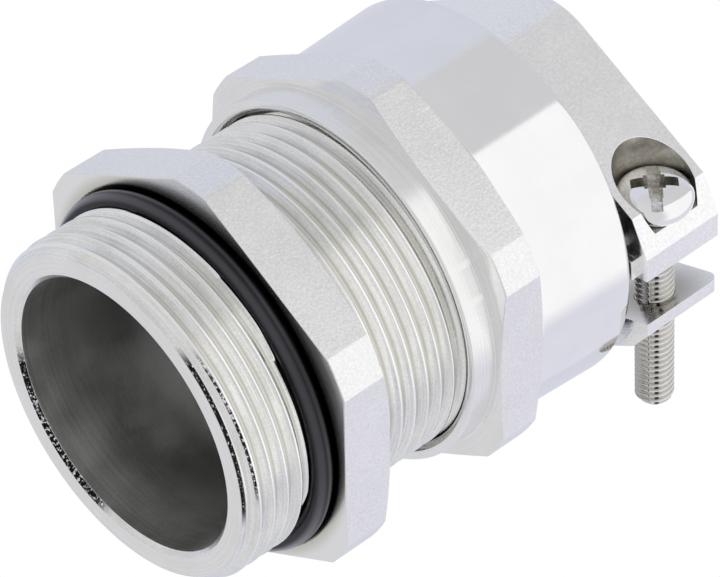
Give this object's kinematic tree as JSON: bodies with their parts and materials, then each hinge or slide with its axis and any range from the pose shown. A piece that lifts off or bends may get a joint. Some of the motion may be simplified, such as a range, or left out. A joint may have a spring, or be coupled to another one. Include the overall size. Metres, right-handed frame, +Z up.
{
  "type": "cable gland with clamp strain relief",
  "caption": "Metal cable gland: a threaded double nipple with panel O-ring, a cap nut that squeezes a rubber seal, and a swivelling screw clamp that grips the cable.",
  "frame": {"origin": "on the gland's axis, in the face of the body's hexagon that seats on the panel", "axes": "+X along the gland's axis towards the cable clamp (the entry thread points to -X), +Z up along the clamp screws, +Y to the left seen from the entry end"},
  "size_m": [0.0518, 0.0392, 0.0396],
  "materials": {
    "turned_nickel": "nickel-plated turned brass, bright, with fine lathe lines",
    "cast_nickel": "nickel-plated cast brass, fine sandy grain, satin",
    "screw_steel": "nickel-plated steel, bright",
    "spring_steel": "plain spring steel",
    "black_rubber": "smooth moulded nitrile rubber, semi-gloss"
  },
  "bodies": {
    "nipple": {"double_nipple": "turned_nickel", "panel_o_ring": "black_rubber", "front_washer": "turned_nickel", "sealing_ring": "black_rubber"},
    "pressure_ring": {"rear_washer": "turned_nickel"},
    "cap": {"cap_nut": "turned_nickel", "snap_ring": "spring_steel"},
    "clamp": {"clamp_body": "cast_nickel"},
    "jaw": {"clamp_jaw": "cast_nickel"},
    "screw_right": {"clamp_screw_right": "screw_steel"},
    "screw_left": {"clamp_screw_left": "screw_steel"}
  },
  "joints": [
    {"name": "nut_travel", "type": "slide", "parent": "nipple", "child": "pressure_ring", "axis": [-1, 0, 0], "range_m": [0, 0.003], "deforming": ["sealing_ring"]},
    {"name": "cap_nut_turn", "type": "hinge", "parent": "pressure_ring", "child": "cap", "pos_m": [0.02, 0, 0], "axis": [-1, 0, 0], "range_deg": [0, 720.01]},
    {"name": "clamp_swivel", "type": "hinge", "parent": "cap", "child": "clamp", "pos_m": [0.03, 0, 0], "axis": [1, 0, 0], "continuous": true},
    {"name": "jaw_travel", "type": "slide", "parent": "clamp", "child": "jaw", "axis": [0, 0, 1], "range_m": [-0.006, 0.0045]},
    {"name": "right_screw_turn", "type": "hinge", "parent": "clamp", "child": "screw_right", "pos_m": [0.0381, -0.0162, 0], "axis": [0, 0, -1], "range_deg": [-3600.1, 2700.1]},
    {"name": "left_screw_turn", "type": "hinge", "parent": "clamp", "child": "screw_left", "pos_m": [0.0381, 0.0162, 0], "axis": [0, 0, -1], "range_deg": [-3600.1, 2700.1]}
  ],
  "couplings": [
    {"joint": "cap_nut_turn", "follows": "nut_travel", "rad_per_m": 4188.8},
    {"joint": "right_screw_turn", "follows": "jaw_travel", "rad_per_m": 10472},
    {"joint": "left_screw_turn", "follows": "jaw_travel", "rad_per_m": 10472}
  ]
}
